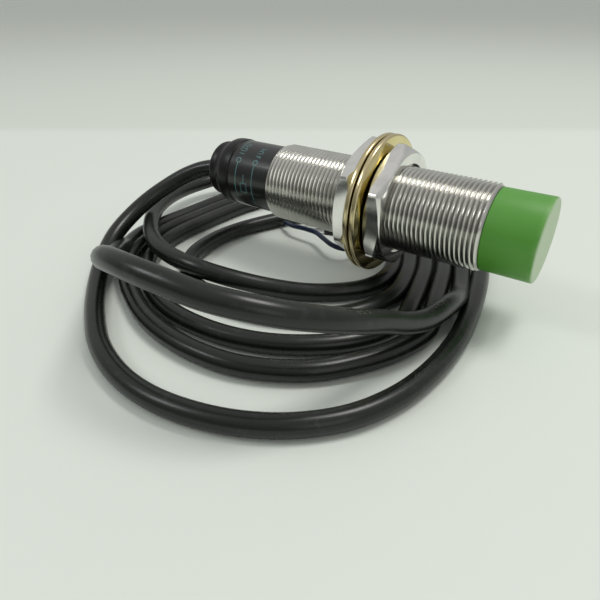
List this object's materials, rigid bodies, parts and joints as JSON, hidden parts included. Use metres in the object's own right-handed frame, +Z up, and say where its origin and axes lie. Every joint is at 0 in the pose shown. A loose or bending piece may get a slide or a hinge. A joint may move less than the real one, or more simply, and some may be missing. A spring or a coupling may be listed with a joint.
{
  "type": "inductive proximity sensor",
  "caption": "Cylindrical inductive proximity sensor with a green sensing cap, a threaded metal barrel, lock nuts, washers and a coiled moulded-on lead.",
  "frame": {"origin": "centre of the sensing face, on the barrel's axis", "axes": "+X out of the sensing face along the barrel's axis, +Z up from the surface that the lead is coiled on"},
  "size_m": [0.1125, 0.112, 0.0345],
  "materials": {
    "nickel": "nickel-plated brass, bright satin",
    "nut_plate": "nickel plate, polished",
    "washer_plate": "yellow passivated zinc plate on steel, polished",
    "green_cap": "moulded plastic, satin",
    "ferrite": "sintered ferrite, matt",
    "bobbin_nylon": "moulded nylon, satin",
    "copper": "enamelled copper wire, glossy",
    "board": "glass epoxy with green solder mask",
    "chip_black": "moulded epoxy, matt",
    "ceramic": "sintered ceramic, matt",
    "trim_white": "ceramic, matt",
    "led_red": "tinted clear epoxy, glossy",
    "resin": "cast resin, matt",
    "sleeve_black": "printed plastic film, glossy",
    "plug_black": "moulded plastic, satin",
    "grommet_rubber": "moulded rubber, matt",
    "crimp_steel": "plain steel, satin",
    "jacket_black": "oil-resistant jacket, satin",
    "wire_brown": "insulation, satin",
    "wire_blue": "insulation, satin",
    "wire_black": "insulation, satin",
    "tinned": "tinned copper strands"
  },
  "bodies": {
    "sensor": {"barrel": "nickel", "sensing_cap": "green_cap", "ferrite_core": "ferrite", "coil_bobbin": "bobbin_nylon", "coil_winding": "copper", "winding_leads": "copper", "circuit_board": "board", "oscillator_chip": "chip_black", "output_transistor": "chip_black", "clamp_diode": "chip_black", "capacitors": "ceramic", "resistors": "chip_black", "trim_resistor": "trim_white", "status_led": "led_red", "potting": "resin", "printed_sleeve": "sleeve_black", "end_plug": "plug_black", "cable_grommet": "grommet_rubber", "crimp_ring": "crimp_steel", "inner_wires": "wire_brown", "cable_lead": "jacket_black", "cable_bow": "jacket_black", "cable_coil": "jacket_black", "brown_wire": "wire_brown", "blue_wire": "wire_blue", "black_wire": "wire_black", "wire_tips": "tinned"},
    "front_washer": {"front_washer": "washer_plate"},
    "front_nut": {"front_nut": "nut_plate"},
    "rear_washer": {"rear_washer": "washer_plate"},
    "rear_nut": {"rear_nut": "nut_plate"}
  },
  "joints": [
    {"name": "front_washer_slide", "type": "slide", "parent": "sensor", "child": "front_washer", "axis": [1, 0, 0], "range_m": [0, 0.0181]},
    {"name": "front_nut_spin", "type": "hinge", "parent": "front_washer", "child": "front_nut", "pos_m": [-0.03115, 0, 0], "axis": [1, 0, 0], "range_deg": [0, 6480]},
    {"name": "rear_washer_slide", "type": "slide", "parent": "sensor", "child": "rear_washer", "axis": [1, 0, 0], "range_m": [-0.0201, 0]},
    {"name": "rear_nut_spin", "type": "hinge", "parent": "rear_washer", "child": "rear_nut", "pos_m": [-0.0384, 0, 0], "axis": [1, 0, 0], "range_deg": [-7200, 0]}
  ],
  "couplings": [
    {"joint": "front_washer_slide", "follows": "front_nut_spin", "m_per_rad": 0.00015915},
    {"joint": "rear_washer_slide", "follows": "rear_nut_spin", "m_per_rad": 0.00015915}
  ]
}
